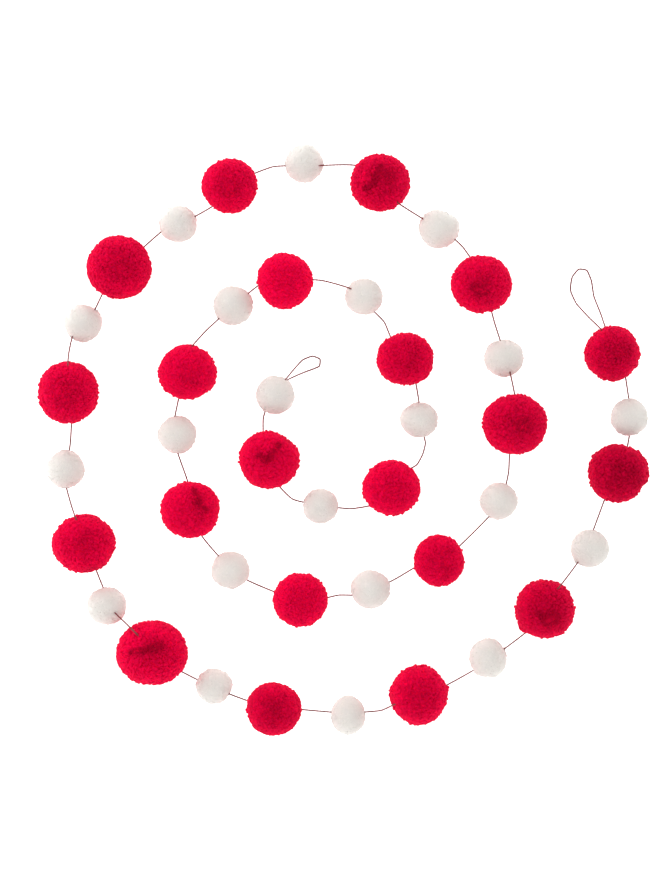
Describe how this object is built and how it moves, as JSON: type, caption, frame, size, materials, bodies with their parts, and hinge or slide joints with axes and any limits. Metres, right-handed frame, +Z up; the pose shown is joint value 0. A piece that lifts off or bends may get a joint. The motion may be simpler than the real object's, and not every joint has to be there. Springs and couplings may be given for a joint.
{
  "type": "pom-pom garland",
  "caption": "Yarn pom-pom garland, large red and small white pompoms by turns on one thin string with a hanging loop at each end, laid out flat in a loose spiral.",
  "frame": {"origin": "on the floor under the middle of the spiral that the pompoms lie in, halfway between their outermost edges along X and along Y", "axes": "+Z up off the floor, +X to the picture's right, +Y to the top of the picture, which was taken from straight above"},
  "size_m": [0.6162, 0.5935, 0.0612],
  "materials": {
    "red_yarn": "soft cut yarn, bright crimson red",
    "white_yarn": "soft fine cut yarn, warm white",
    "string": "thin twisted string, reddish brown"
  },
  "bodies": {
    "root": {"string": "string", "pompom_01_red": "red_yarn", "pompom_02_white": "white_yarn", "pompom_03_red": "red_yarn", "pompom_04_white": "white_yarn", "pompom_05_red": "red_yarn", "pompom_06_white": "white_yarn", "pompom_07_red": "red_yarn", "pompom_08_white": "white_yarn", "pompom_09_red": "red_yarn", "pompom_10_white": "white_yarn", "pompom_11_red": "red_yarn", "pompom_12_white": "white_yarn", "pompom_13_red": "red_yarn", "pompom_14_white": "white_yarn", "pompom_15_red": "red_yarn", "pompom_16_white": "white_yarn", "pompom_17_red": "red_yarn", "pompom_18_white": "white_yarn", "pompom_19_red": "red_yarn", "pompom_20_white": "white_yarn", "pompom_21_red": "red_yarn", "pompom_22_white": "white_yarn", "pompom_23_red": "red_yarn", "pompom_24_white": "white_yarn", "pompom_25_red": "red_yarn", "pompom_26_white": "white_yarn", "pompom_27_red": "red_yarn", "pompom_28_white": "white_yarn", "pompom_29_red": "red_yarn", "pompom_30_white": "white_yarn", "pompom_31_red": "red_yarn", "pompom_32_white": "white_yarn", "pompom_33_red": "red_yarn", "pompom_34_white": "white_yarn", "pompom_35_red": "red_yarn", "pompom_36_white": "white_yarn", "pompom_37_red": "red_yarn", "pompom_38_white": "white_yarn", "pompom_39_red": "red_yarn", "pompom_40_white": "white_yarn", "pompom_41_red": "red_yarn", "pompom_42_white": "white_yarn"}
  },
  "joints": []
}
